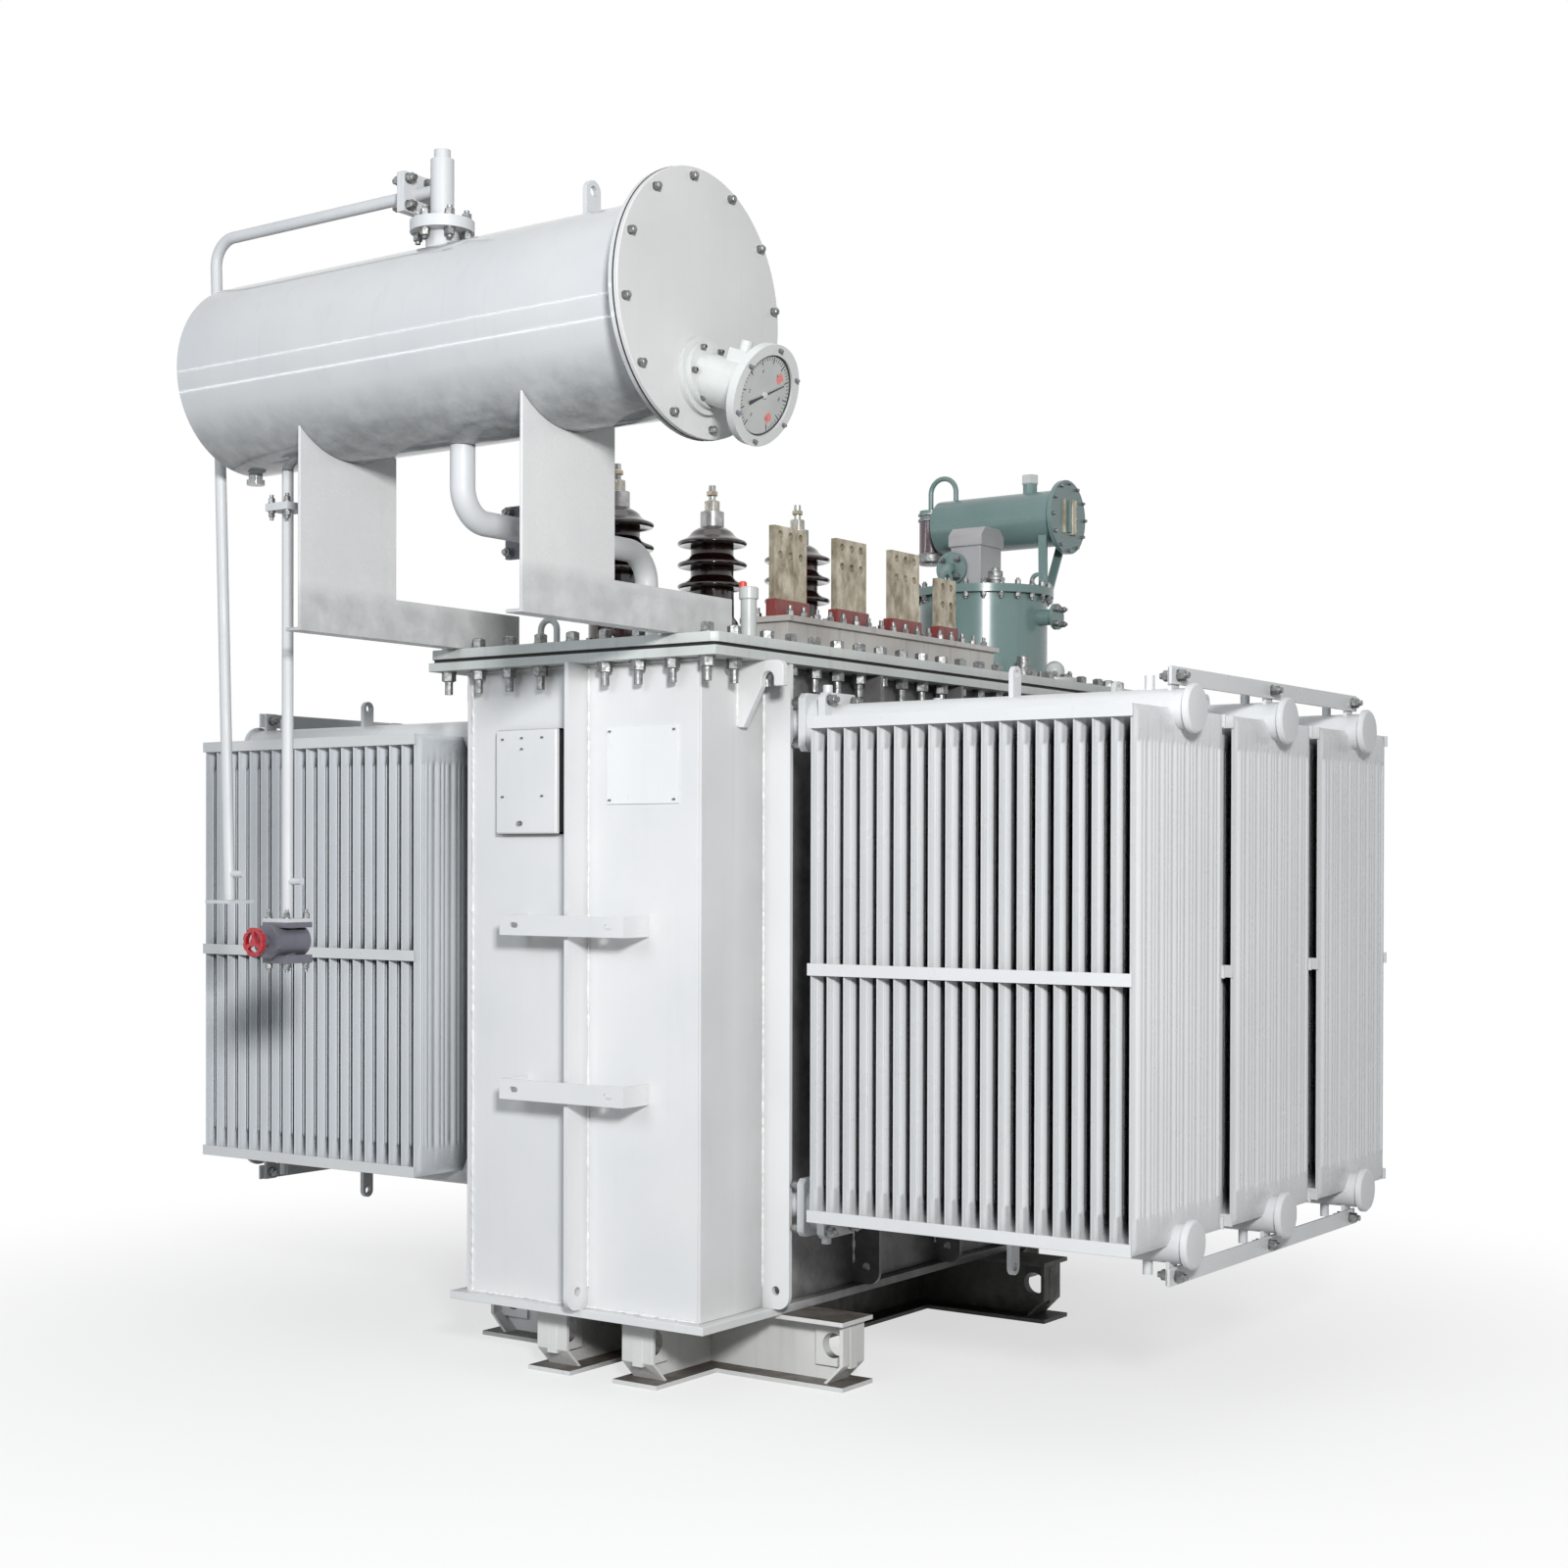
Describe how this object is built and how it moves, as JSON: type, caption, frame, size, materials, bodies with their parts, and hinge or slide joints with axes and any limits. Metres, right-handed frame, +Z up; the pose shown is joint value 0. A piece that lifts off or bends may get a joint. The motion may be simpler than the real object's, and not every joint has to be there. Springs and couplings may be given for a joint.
{
  "type": "oil-immersed transformer",
  "caption": "Oil-immersed power transformer: plate tank on beams, panel radiators on both sides, conservator with dial gauge, bushings, busbar terminals and a tap changer.",
  "frame": {"origin": "middle of the footprint box at ground level", "axes": "+Z up; X across the tank, towards the conservator's dial gauge; -Y towards the end wall under the conservator"},
  "size_m": [2.974, 2.886, 2.907],
  "materials": {
    "tank_paint": "semi-gloss light grey paint with dust and runs",
    "radiator_paint": "semi-gloss light grey paint",
    "base_paint": "grey paint under dirt",
    "gasket": "black rubber",
    "porcelain": "dark brown glaze",
    "terminal_metal": "tarnished",
    "block_red": "dull dark red resin",
    "tap_paint": "teal grey paint",
    "valve_iron": "painted dark grey casting",
    "wheel_red": "red paint",
    "gauge": "light grey housing",
    "plate_metal": "bare dull plate",
    "gel_cup": "clear cup of brown gel"
  },
  "bodies": {
    "transformer": {"base_cross_beams": "base_paint", "base_long_beams": "base_paint", "breather_riser": "tank_paint", "conservator_barrel": "tank_paint", "conservator_blind_end": "tank_paint", "conservator_end_cover": "tank_paint", "conservator_pipes": "tank_paint", "conservator_saddles": "tank_paint", "cover_fittings": "tank_paint", "cover_gasket": "gasket", "drain_valve": "valve_iron", "front_brackets": "tank_paint", "front_cabinet": "tank_paint", "front_plate": "plate_metal", "gas_relay": "valve_iron", "hv_porcelain": "porcelain", "hv_terminals": "terminal_metal", "lifting_hooks": "tank_paint", "lv_bars": "terminal_metal", "lv_blocks": "block_red", "lv_turret": "tank_paint", "oil_level_gauge": "gauge", "radiator_headers_left": "radiator_paint", "radiator_headers_right": "radiator_paint", "radiator_left_1": "radiator_paint", "radiator_left_2": "radiator_paint", "radiator_left_3": "radiator_paint", "radiator_right_1": "radiator_paint", "radiator_right_2": "radiator_paint", "radiator_right_3": "radiator_paint", "radiator_tie_bars": "radiator_paint", "radiator_valves": "radiator_paint", "relay_pipe": "tank_paint", "tank_cover": "tank_paint", "tank_end_walls": "tank_paint", "tank_floor": "tank_paint", "tank_rim": "tank_paint", "tank_side_walls": "tank_paint", "tap_changer_breather": "gel_cup", "tap_changer_conservator": "tap_paint", "tap_changer_gearbox": "tap_paint", "tap_changer_lid": "tap_paint", "tap_changer_tank": "tap_paint", "wall_stiffeners": "tank_paint"},
    "handwheel": {"drain_handwheel": "wheel_red"}
  },
  "joints": [
    {"name": "handwheel_turn", "type": "hinge", "parent": "transformer", "child": "handwheel", "pos_m": [-0.55, -1.235, 1.083], "axis": [0, -1, 0], "range_deg": [0, 1080]}
  ]
}
